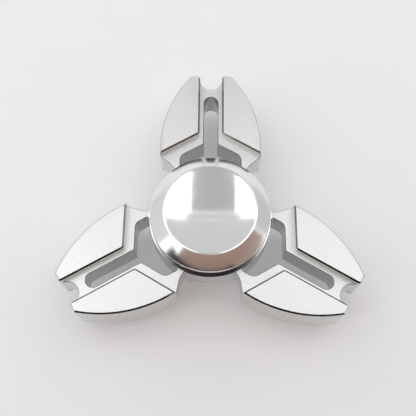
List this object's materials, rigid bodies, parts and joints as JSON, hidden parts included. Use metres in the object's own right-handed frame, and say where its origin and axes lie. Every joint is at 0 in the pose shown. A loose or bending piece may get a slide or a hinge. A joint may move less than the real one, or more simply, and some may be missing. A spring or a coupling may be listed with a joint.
{
  "type": "fidget spinner",
  "caption": "Metal fidget spinner: claw-shaped arms with raised pads and open slots on a ball-bearing hub, held between dished finger buttons.",
  "frame": {"origin": "centre of the ball bearing: on the spin axis, half way through the thickness", "axes": "+Z along the spin axis, up through the top finger button; +Y along one claw, +X to the right of it"},
  "size_m": [0.0696, 0.0609, 0.0182],
  "materials": {
    "satin_aluminium": "fine bead-blasted satin, with bright cut chamfers",
    "polished_aluminium": "turned and polished",
    "bearing_steel": "ground and polished",
    "pressed_steel": "pressed, lightly satin",
    "black_steel": "black oxide"
  },
  "bodies": {
    "grip": {"button_top": "polished_aluminium", "button_bottom": "polished_aluminium", "centre_stud": "black_steel", "bearing_inner_ring": "bearing_steel"},
    "rotor": {"claw_body": "satin_aluminium", "bearing_outer_ring": "bearing_steel", "shield_top": "pressed_steel", "shield_bottom": "pressed_steel"},
    "cage": {"cage_upper_half": "pressed_steel", "cage_lower_half": "pressed_steel", "cage_rivet_1": "pressed_steel", "cage_rivet_2": "pressed_steel", "cage_rivet_3": "pressed_steel", "cage_rivet_4": "pressed_steel", "cage_rivet_5": "pressed_steel", "cage_rivet_6": "pressed_steel", "cage_rivet_7": "pressed_steel"},
    "ball_1": {"ball_1": "bearing_steel"},
    "ball_2": {"ball_2": "bearing_steel"},
    "ball_3": {"ball_3": "bearing_steel"},
    "ball_4": {"ball_4": "bearing_steel"},
    "ball_5": {"ball_5": "bearing_steel"},
    "ball_6": {"ball_6": "bearing_steel"},
    "ball_7": {"ball_7": "bearing_steel"}
  },
  "joints": [
    {"name": "body_spin", "type": "hinge", "parent": "grip", "child": "rotor", "pos_m": [0, 0, 0], "axis": [0, 0, 1], "continuous": true},
    {"name": "cage_spin", "type": "hinge", "parent": "grip", "child": "cage", "pos_m": [0, 0, 0], "axis": [0, 0, 1], "continuous": true},
    {"name": "ball_1_spin", "type": "hinge", "parent": "cage", "child": "ball_1", "pos_m": [0, 0.0075, 0], "axis": [0, 0, 1], "continuous": true},
    {"name": "ball_2_spin", "type": "hinge", "parent": "cage", "child": "ball_2", "pos_m": [-0.00586, 0.00468, 0], "axis": [0, 0, 1], "continuous": true},
    {"name": "ball_3_spin", "type": "hinge", "parent": "cage", "child": "ball_3", "pos_m": [-0.00731, -0.00167, 0], "axis": [0, 0, 1], "continuous": true},
    {"name": "ball_4_spin", "type": "hinge", "parent": "cage", "child": "ball_4", "pos_m": [-0.00325, -0.00676, 0], "axis": [0, 0, 1], "continuous": true},
    {"name": "ball_5_spin", "type": "hinge", "parent": "cage", "child": "ball_5", "pos_m": [0.00325, -0.00676, 0], "axis": [0, 0, 1], "continuous": true},
    {"name": "ball_6_spin", "type": "hinge", "parent": "cage", "child": "ball_6", "pos_m": [0.00731, -0.00167, 0], "axis": [0, 0, 1], "continuous": true},
    {"name": "ball_7_spin", "type": "hinge", "parent": "cage", "child": "ball_7", "pos_m": [0.00586, 0.00468, 0], "axis": [0, 0, 1], "continuous": true}
  ],
  "couplings": [
    {"joint": "cage_spin", "follows": "body_spin", "ratio": 0.6323},
    {"joint": "ball_1_spin", "follows": "body_spin", "ratio": 1.7579},
    {"joint": "ball_2_spin", "follows": "body_spin", "ratio": 1.7579},
    {"joint": "ball_3_spin", "follows": "body_spin", "ratio": 1.7579},
    {"joint": "ball_4_spin", "follows": "body_spin", "ratio": 1.7579},
    {"joint": "ball_5_spin", "follows": "body_spin", "ratio": 1.7579},
    {"joint": "ball_6_spin", "follows": "body_spin", "ratio": 1.7579},
    {"joint": "ball_7_spin", "follows": "body_spin", "ratio": 1.7579}
  ]
}
